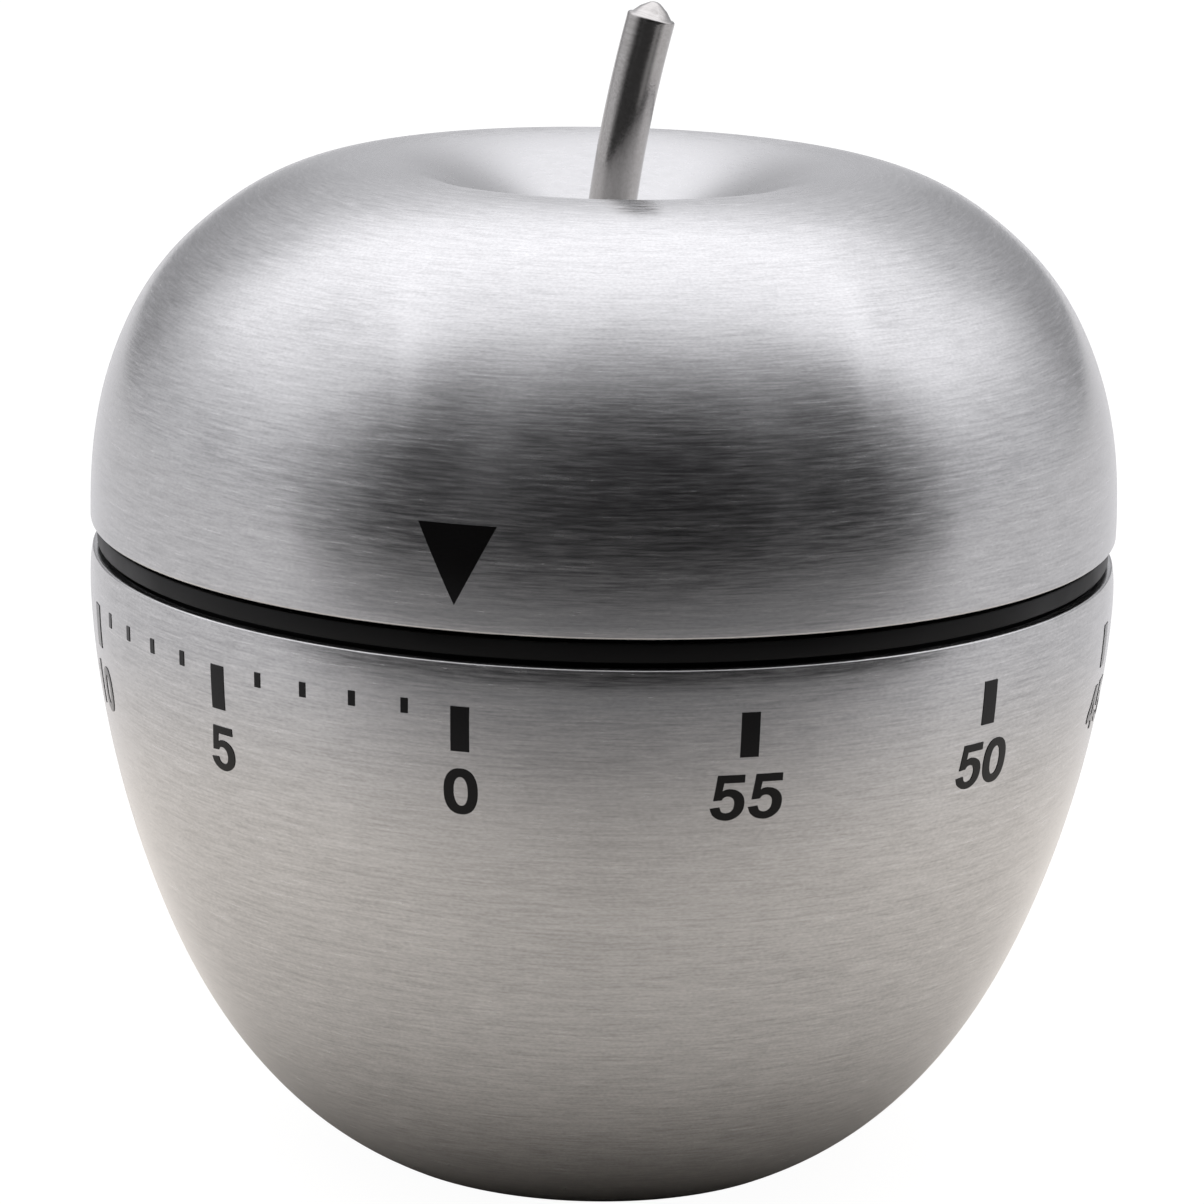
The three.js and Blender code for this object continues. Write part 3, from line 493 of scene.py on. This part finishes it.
# ------------------------------------------------------------------ stem
R = 1.4
st = [(0, 49.0), (1.0, 49.0), (1.2, 49.2), (1.2, 53.6), (R, 53.9)]
z = 54.2
while z < 66.7:
    st.append((R, z))
    z += 0.35
st += [(R, 66.74)] + arc(R - 0.14, 66.86, 0.14, 0, 60, 3)
st += [(R - 0.24, 67.02), (0.80, 67.42), (0.42, 67.68), (0.30, 67.76), (0.16, 67.81), (0, 67.82)]
o = lathe("stem_rod", st, 64)
for v in o.data.vertices:
    v.co = leaned(v.co)
piece(o, "cap", "stem_steel", mat_stem, "stem")

# ------------------------------------------------------------------ printed scale and pointer
def smooth_closed(pts, n=4):
    """Catmull-Rom through the points; a point given with a third value is a corner."""
    out, m = [], len(pts)
    for i in range(m):
        p0, p1, p2, p3 = pts[i - 1], pts[i], pts[(i + 1) % m], pts[(i + 2) % m]
        c1, c2 = len(p1) > 2, len(p2) > 2
        out.append((p1[0], p1[1]))
        if c1 and c2:
            continue
        for s in range(1, n):
            t = s / n
            m1 = ((p2[0] - p0[0]) / 2, (p2[1] - p0[1]) / 2) if not c1 else (p2[0] - p1[0], p2[1] - p1[1])
            m2 = ((p3[0] - p1[0]) / 2, (p3[1] - p1[1]) / 2) if not c2 else (p2[0] - p1[0], p2[1] - p1[1])
            h = (2 * t**3 - 3 * t**2 + 1, t**3 - 2 * t**2 + t, -2 * t**3 + 3 * t**2, t**3 - t**2)
            out.append(tuple(h[0] * p1[q] + h[1] * m1[q] + h[2] * p2[q] + h[3] * m2[q] for q in (0, 1)))
    return out


def oval(cx, cy, a, b, e, n=40):
    out = []
    for k in range(n):
        t = 2 * math.pi * k / n
        c, s = math.cos(t), math.sin(t)
        out.append((cx + a * math.copysign(abs(c) ** (2 / e), c), cy + b * math.copysign(abs(s) ** (2 / e), s)))
    return out


c = 1
DIGITS = {
    "0": [oval(0.357, 0.5, 0.357, 0.512, 2.35), oval(0.357, 0.5, 0.150, 0.325, 2.2)[::-1]],
    "1": [smooth_closed([(0.47, 0, c), (0.47, 1.0, c), (0.32, 1.0, c), (0.25, 0.875), (0.07, 0.82, c), (0.07, 0.685, c), (0.265, 0.70, c), (0.265, 0, c)])],
    "2": [smooth_closed([(0, 0, c), (0.70, 0, c), (0.70, 0.175, c), (0.285, 0.175, c), (0.37, 0.27), (0.52, 0.385), (0.64, 0.50), (0.70, 0.63), (0.695, 0.76), (0.635, 0.90), (0.52, 0.985), (0.36, 1.012), (0.19, 0.975), (0.075, 0.87), (0.03, 0.73), (0.025, 0.665, c), (0.222, 0.655, c), (0.235, 0.75), (0.29, 0.83), (0.365, 0.855), (0.445, 0.83), (0.49, 0.765), (0.485, 0.68), (0.43, 0.585), (0.30, 0.465), (0.14, 0.325), (0.045, 0.19), (0.005, 0.07)])],
    "3": [smooth_closed([(0.03, 0.695, c), (0.05, 0.83), (0.165, 0.965), (0.345, 1.012), (0.535, 0.975), (0.65, 0.87), (0.668, 0.735), (0.62, 0.61), (0.53, 0.545, c), (0.655, 0.46), (0.71, 0.32), (0.685, 0.165), (0.565, 0.035), (0.36, -0.012), (0.155, 0.03), (0.035, 0.15), (0, 0.31, c), (0.20, 0.315, c), (0.22, 0.215), (0.285, 0.155), (0.365, 0.14), (0.455, 0.17), (0.505, 0.245), (0.50, 0.335), (0.455, 0.41), (0.37, 0.445), (0.27, 0.447, c), (0.27, 0.585, c), (0.36, 0.59), (0.43, 0.625), (0.465, 0.70), (0.455, 0.785), (0.41, 0.845), (0.345, 0.862), (0.28, 0.84), (0.235, 0.78), (0.222, 0.695, c)])],
    "4": [[(0.43, 0), (0.62, 0), (0.62, 0.215), (0.735, 0.215), (0.735, 0.372), (0.62, 0.372), (0.62, 1.0), (0.43, 1.0), (-0.01, 0.395), (-0.01, 0.215), (0.43, 0.215)], [(0.43, 0.372), (0.158, 0.372), (0.43, 0.745)]],
    "5": [smooth_closed([(0.135, 1.0, c), (0.70, 1.0, c), (0.70, 0.83, c), (0.272, 0.83, c), (0.243, 0.645, c), (0.31, 0.677), (0.395, 0.69), (0.52, 0.665), (0.63, 0.60), (0.70, 0.49), (0.718, 0.355), (0.69, 0.20), (0.59, 0.07), (0.45, 0.0), (0.33, -0.012), (0.18, 0.025), (0.055, 0.125), (0.0, 0.265, c), (0.205, 0.29, c), (0.24, 0.20), (0.29, 0.16), (0.355, 0.148), (0.43, 0.168), (0.485, 0.23), (0.508, 0.335), (0.492, 0.44), (0.435, 0.51), (0.36, 0.532), (0.285, 0.513), (0.237, 0.452, c), (0.065, 0.44, c)])],
}


def inside(p, loops):
    hit = False
    for L in loops:
        n = len(L)
        for i in range(n):
            (x1, y1), (x2, y2) = L[i], L[(i + 1) % n]
            if (y1 > p[1]) != (y2 > p[1]) and p[0] < (x2 - x1) * (p[1] - y1) / (y2 - y1) + x1:
                hit = not hit
    return hit


def print_patch(bm, loops, place, grid=0.22, lift=0.028, sink=-0.006):
    """Adds a thin closed patch of ink. loops are in mm on the printing plane; place maps (x, y, lift) to space."""
    verts, edges = [], []
    for L in loops:
        # split long edges so that they follow the curve of the shell
        pts = []
        for i in range(len(L)):
            a, b = L[i], L[(i + 1) % len(L)]
            k = max(1, int(math.ceil(math.hypot(b[0] - a[0], b[1] - a[1]) / grid)))
            pts += [(a[0] + (b[0] - a[0]) * j / k, a[1] + (b[1] - a[1]) * j / k) for j in range(k)]
        s = len(verts)
        verts += [Vector(p) for p in pts]
        edges += [(s + i, s + (i + 1) % len(pts)) for i in range(len(pts))]
    xs, ys = [v.x for v in verts], [v.y for v in verts]
    x = min(xs) + grid * 0.5
    while x < max(xs):
        y = min(ys) + grid * 0.5
        while y < max(ys):
            if inside((x, y), loops) and min((v - Vector((x, y))).length for v in verts) > grid * 0.35:
                verts.append(Vector((x, y)))
            y += grid
        x += grid
    V, E, F, *_ = delaunay_2d_cdt(verts, edges, [], 0, 1e-6)
    keep = []
    for f in F:
        cx, cy = sum(V[i].x for i in f) / len(f), sum(V[i].y for i in f) / len(f)
        if inside((cx, cy), loops):
            keep.append(list(f))
    top = [bm.verts.new(place(v.x, v.y, lift)) for v in V]
    bot = [bm.verts.new(place(v.x, v.y, sink)) for v in V]
    count = {}
    for f in keep:
        if len(f) == 3 and (V[f[1]] - V[f[0]]).cross(V[f[2]] - V[f[0]]) < 0:
            f.reverse()
        bm.faces.new([top[i] for i in f])
        bm.faces.new([bot[i] for i in reversed(f)])
        for a, b in zip(f, f[1:] + f[:1]):
            count[(a, b)] = 1
    for (a, b) in list(count):
        if (b, a) not in count:
            bm.faces.new((top[b], top[a], bot[a], bot[b]))
    for v in top + bot:
        if not v.link_faces:
            bm.verts.remove(v)


def shell_place(curve, minute_deg, z0):
    """Maps print-plane mm to the shell: x runs to the right seen from outside, y is up along the outline from height z0."""
    s = [0.0]
    for a, b in zip(curve, curve[1:]):
        s.append(s[-1] + math.hypot(b[0] - a[0], b[1] - a[1]))

    def s_at_z(zz):
        for i in range(1, len(curve)):
            if curve[i - 1][1] <= zz <= curve[i][1]:
                f = (zz - curve[i - 1][1]) / (curve[i][1] - curve[i - 1][1])
                return s[i - 1] + f * (s[i] - s[i - 1])
        raise ValueError(zz)

    s0 = s_at_z(z0)
    r0 = at_z(curve, z0)

    def place(x, y, lift):
        q = s0 + y
        i = 1
        while i < len(s) - 1 and s[i] < q:
            i += 1
        f = (q - s[i - 1]) / (s[i] - s[i - 1])
        r = curve[i - 1][0] + f * (curve[i][0] - curve[i - 1][0])
        zz = curve[i - 1][1] + f * (curve[i][1] - curve[i - 1][1])
        tr, tz = curve[i][0] - curve[i - 1][0], curve[i][1] - curve[i - 1][1]
        l = math.hypot(tr, tz)
        nr, nz = tz / l, -tr / l
        r += nr * lift
        zz += nz * lift
        a = math.radians(minute_deg) + x / r0
        return Vector((r * math.cos(a) * MM, r * math.sin(a) * MM, zz * MM))

    return place


bm = bmesh.new()
fineC = bspline(LOWER_CTRL, 400)
DIG_H, DIG_W = 2.60, 2.66
for minute in range(0, 60, 5):
    ang = -90 - 6 * minute
    pl = shell_place(fineC, ang, 32.29)
    w, h = 0.52, 1.26
    print_patch(bm, [[(-w, -h), (w, -h), (w, h), (-w, h)]], pl)
    text = str(minute)
    adv = 0.80
    total = adv * len(text) - 0.085
    pl = shell_place(fineC, ang, 28.74)
    for i, ch in enumerate(text):
        x0 = -total / 2 + adv * i
        print_patch(bm, [[((x0 + p[0]) * DIG_W, (p[1] - 0.5) * DIG_H) for p in L] for L in DIGITS[ch]], pl)
for minute in (1, 2, 3, 4, 6, 7, 8, 9):
    pl = shell_place(fineC, -90 - 6 * minute, 33.30)
    w, h = 0.21, 0.42
    print_patch(bm, [[(-w, -h), (w, -h), (w, h), (-w, h)]], pl)
bmesh.ops.recalc_face_normals(bm, faces=bm.faces[:])
o = new_object("scale_print", bm, smooth=False)
piece(o, "base", "black_plastic", mat_ink)

bm = bmesh.new()
fineU = bspline(UPPER_CTRL, 400)
pl = shell_place(fineU, -90.78, 39.08)
print_patch(bm, [[(0, 0), (2.2, 4.34), (-2.2, 4.34)]], pl)
bmesh.ops.recalc_face_normals(bm, faces=bm.faces[:])
o = new_object("pointer_print", bm, smooth=False)
piece(o, "cap", "black_plastic", mat_ink)

# ------------------------------------------------------------------ floor
bm = bmesh.new()
bmesh.ops.create_grid(bm, x_segments=1, y_segments=1, size=6.0)
floor = new_object("floor", bm, smooth=False)
floor.location.z = -0.0001
m, nt, b = material("floor_paper")
tc = N(nt, "ShaderNodeTexCoord")
dot = N(nt, "ShaderNodeVectorMath", operation="DOT_PRODUCT")
cd = Vector((0.246919, -0.969036, 0.0))               # the studio's front, fixed in the room
dot.inputs[1].default_value = cd
nt.links.new(tc.outputs["Object"], dot.inputs[0])


def smooth(val, a, b_, lo, hi):
    n = N(nt, "ShaderNodeMapRange", interpolation_type="SMOOTHSTEP")
    for k, v in (("From Min", a), ("From Max", b_), ("To Min", lo), ("To Max", hi)):
        n.inputs[k].default_value = v
    nt.links.new(val, n.inputs["Value"])
    return n.outputs["Result"]


# the paper's base colour is painted with shade: a painted contact shadow round the foot, painted shade towards the
# studio's front and a little painted shade farther out; the steel reflects it, while camera rays see mostly the white
# glow below
away = N(nt, "ShaderNodeVectorMath", operation="DISTANCE")
away.inputs[1].default_value = -0.004 * cd
nt.links.new(tc.outputs["Object"], away.inputs[0])
# painted contact shadow: the paper is darker close to the foot
painted_contact_shadow = smooth(away.outputs["Value"], 0.006, 0.034, 0.29, 1.0)
off = N(nt, "ShaderNodeVectorMath", operation="DOT_PRODUCT")
off.inputs[1].default_value = (-cd.y, cd.x, 0)
nt.links.new(tc.outputs["Object"], off.inputs[0])
# painted shade: the paper is darker towards the studio's front
ahead = math_node(nt, "SUBTRACT", dot.outputs["Value"], math_node(nt, "MULTIPLY", math_node(nt, "ABSOLUTE", off.outputs["Value"]), 0.22))
ahead = math_node(nt, "ADD", ahead, math_node(nt, "MULTIPLY", off.outputs["Value"], 0.11))
painted_front_shade = math_node(nt, "ADD", smooth(ahead, 0.005, 0.132, 0.98, 0.230), smooth(ahead, 0.100, 0.145, 0.0, 0.19))
painted_front_shade = math_node(nt, "MULTIPLY", painted_front_shade, smooth(ahead, 0.160, 0.265, 1.0, 0.13))
# painted shade: the paper is a little darker farther out
painted_far_shade = smooth(away.outputs["Value"], 0.050, 0.120, 1.0, 0.81)
# the product of the three painted shades drives the paper's base colour
tone = math_node(nt, "MULTIPLY", math_node(nt, "MULTIPLY", painted_contact_shadow, painted_front_shade), painted_far_shade)
warm = grey_tint(nt, tone, (0.0, 0.0, 0.0), (1.0, 0.942, 0.855))
plain = grey_tint(nt, tone, (0.0, 0.0, 0.0), (1.0, 0.99, 0.98))
blend = N(nt, "ShaderNodeMix", data_type="RGBA")
nt.links.new(smooth(away.outputs["Value"], 0.055, 0.135, 0.0, 1.0), blend.inputs["Factor"])
nt.links.new(warm, blend.inputs["A"])
nt.links.new(plain, blend.inputs["B"])
nt.links.new(blend.outputs["Result"], b.inputs["Base Color"])
b.inputs["Roughness"].default_value = 0.9
b.inputs["Specular IOR Level"].default_value = 0.1
# the paper itself is lit white where the camera looks at it, as behind an overexposed product shot
out = nt.nodes["Material Output"]
glow = N(nt, "ShaderNodeEmission")
glow.inputs["Strength"].default_value = 1.1
lp = N(nt, "ShaderNodeLightPath")
mixs = N(nt, "ShaderNodeMixShader")
nt.links.new(math_node(nt, "MULTIPLY", lp.outputs["Is Camera Ray"], 0.88), mixs.inputs[0])
nt.links.new(b.outputs[0], mixs.inputs[1])
nt.links.new(glow.outputs[0], mixs.inputs[2])
geo = N(nt, "ShaderNodeNewGeometry")
spot = N(nt, "ShaderNodeVectorMath", operation="LENGTH")   # and not under the foot, which lets light reach the underside
nt.links.new(tc.outputs["Object"], spot.inputs[0])
open_floor = math_node(nt, "MAXIMUM", geo.outputs["Backfacing"], smooth(spot.outputs["Value"], 0.0126, 0.0134, 1.0, 0.0))
clear = N(nt, "ShaderNodeBsdfTransparent")
top_only = N(nt, "ShaderNodeMixShader")
nt.links.new(open_floor, top_only.inputs[0])
nt.links.new(mixs.outputs[0], top_only.inputs[1])
nt.links.new(clear.outputs[0], top_only.inputs[2])
nt.links.new(top_only.outputs[0], out.inputs["Surface"])
floor.data.materials.append(m)

# ------------------------------------------------------------------ studio: a soft tent with a dark opening towards the camera
world = bpy.data.worlds.new("studio")
SCENE.world = world
world.use_nodes = True
nt = world.node_tree
nt.nodes.clear()
wo = N(nt, "ShaderNodeOutputWorld")
bg = N(nt, "ShaderNodeBackground")
nt.links.new(bg.outputs[0], wo.inputs[0])
tc = N(nt, "ShaderNodeTexCoord")
nrm = N(nt, "ShaderNodeVectorMath", operation="NORMALIZE")
nt.links.new(tc.outputs["Generated"], nrm.inputs[0])
sep = N(nt, "ShaderNodeSeparateXYZ")
nt.links.new(nrm.outputs[0], sep.inputs[0])


def dot_with(v):
    d = N(nt, "ShaderNodeVectorMath", operation="DOT_PRODUCT")
    d.inputs[1].default_value = v
    nt.links.new(nrm.outputs[0], d.inputs[0])
    return d.outputs["Value"]


def smooth(fac, a, b, lo, hi):
    n = N(nt, "ShaderNodeMapRange", interpolation_type="SMOOTHSTEP")
    n.clamp = True
    for k, v in zip(("From Min", "From Max", "To Min", "To Max"), (a, b, lo, hi)):
        n.inputs[k].default_value = v
    nt.links.new(fac, n.inputs["Value"])
    return n.outputs["Result"]


front = dot_with(cd)
side = dot_with(Vector((-cd.y, cd.x, 0)))
DEG = math.radians
# overhead tent, brighter towards the top
tent = smooth(sep.outputs[2], 0.10, 0.86, 0.66, 1.85)
az = math_node(nt, "ARCTAN2", side, front)
az_abs = math_node(nt, "ABSOLUTE", az)
el = math_node(nt, "ARCSINE", sep.outputs[2])
# a soft box at each side, and the dimmer corners behind them
low = smooth(el, DEG(26), DEG(52), 1.0, 0.0)
box = math_node(nt, "MULTIPLY", smooth(math_node(nt, "ABSOLUTE", math_node(nt, "SUBTRACT", az_abs, DEG(100))), DEG(8), DEG(32), 1.0, 0.0), low)
high = smooth(el, DEG(29), DEG(50), 1.0, 0.0)
corner = math_node(nt, "MULTIPLY", smooth(math_node(nt, "ABSOLUTE", math_node(nt, "SUBTRACT", az_abs, DEG(154))), DEG(9), DEG(27), 1.0, 0.0), high)
tent = math_node(nt, "MULTIPLY", tent, smooth(az_abs, DEG(95), DEG(135), 0.86, 1.0))
lit = math_node(nt, "MULTIPLY", tent, math_node(nt, "ADD", 1.0, math_node(nt, "SUBTRACT", math_node(nt, "MULTIPLY", box, 0.31), math_node(nt, "MULTIPLY", corner, 0.35))))
# the dark room through the open front of the tent
edge = smooth(math_node(nt, "ABSOLUTE", math_node(nt, "SUBTRACT", az, DEG(8))), DEG(50), DEG(89), 0.0, 0.92)
haze = smooth(math_node(nt, "ABSOLUTE", math_node(nt, "SUBTRACT", az, DEG(15))), DEG(5), DEG(60), 0.0, 0.08)
m_az = math_node(nt, "ADD", edge, haze)
for at, amp in ((-27, 0.04), (41, 0.04)):             # two light stands seen in the dark
    stand = smooth(math_node(nt, "ABSOLUTE", math_node(nt, "SUBTRACT", az, DEG(at))), DEG(1), DEG(8), amp, 0.0)
    m_az = math_node(nt, "ADD", m_az, stand)
foot = smooth(math_node(nt, "ABSOLUTE", math_node(nt, "SUBTRACT", az, DEG(9))), DEG(10), DEG(50), DEG(31), DEG(24))
rise = math_node(nt, "DIVIDE", math_node(nt, "MAXIMUM", math_node(nt, "SUBTRACT", el, foot), 0.0), DEG(59))
m_el = math_node(nt, "POWER", rise, 1.5)
keep = math_node(nt, "MULTIPLY", math_node(nt, "SUBTRACT", 1.0, m_az), math_node(nt, "SUBTRACT", 1.0, m_el))
mask = math_node(nt, "SUBTRACT", 1.0, math_node(nt, "MULTIPLY", keep, 0.965))
# the seam of the tent, a little dimmer at mid height, and the bright edges of its two front panels
seam_az = math_node(nt, "ABSOLUTE", math_node(nt, "SUBTRACT", az, DEG(19)))
seam = math_node(nt, "MULTIPLY", smooth(math_node(nt, "ABSOLUTE", math_node(nt, "SUBTRACT", seam_az, DEG(109))), DEG(12), DEG(36), 0.13, 0.0),
                 smooth(math_node(nt, "ABSOLUTE", math_node(nt, "SUBTRACT", el, DEG(41))), DEG(6), DEG(16), 1.0, 0.0))
val = math_node(nt, "MULTIPLY", math_node(nt, "MULTIPLY", lit, mask), math_node(nt, "SUBTRACT", 1.0, seam))
for sign, slope, at in ((-1, 0.30, 0.505), (1, 0.52, 0.662)):
    u = math_node(nt, "SUBTRACT", math_node(nt, "MULTIPLY", side, sign), math_node(nt, "MULTIPLY", front, slope))
    strip = smooth(math_node(nt, "ABSOLUTE", math_node(nt, "SUBTRACT", u, at)), 0.006, 0.046, 0.26, 0.0)
    strip = math_node(nt, "MULTIPLY", strip, smooth(sep.outputs[2], 0.45, 0.60, 0.0, 1.0))
    strip = math_node(nt, "MULTIPLY", strip, smooth(front, -0.45, -0.15, 0.0, 1.0))
    val = math_node(nt, "ADD", val, strip)
comb = N(nt, "ShaderNodeCombineColor")
for i, f in enumerate((0.985, 0.985, 1.025)):
    nt.links.new(math_node(nt, "MULTIPLY", val, f), comb.inputs[i])
nt.links.new(comb.outputs[0], bg.inputs["Color"])
bg.inputs["Strength"].default_value = 1.0
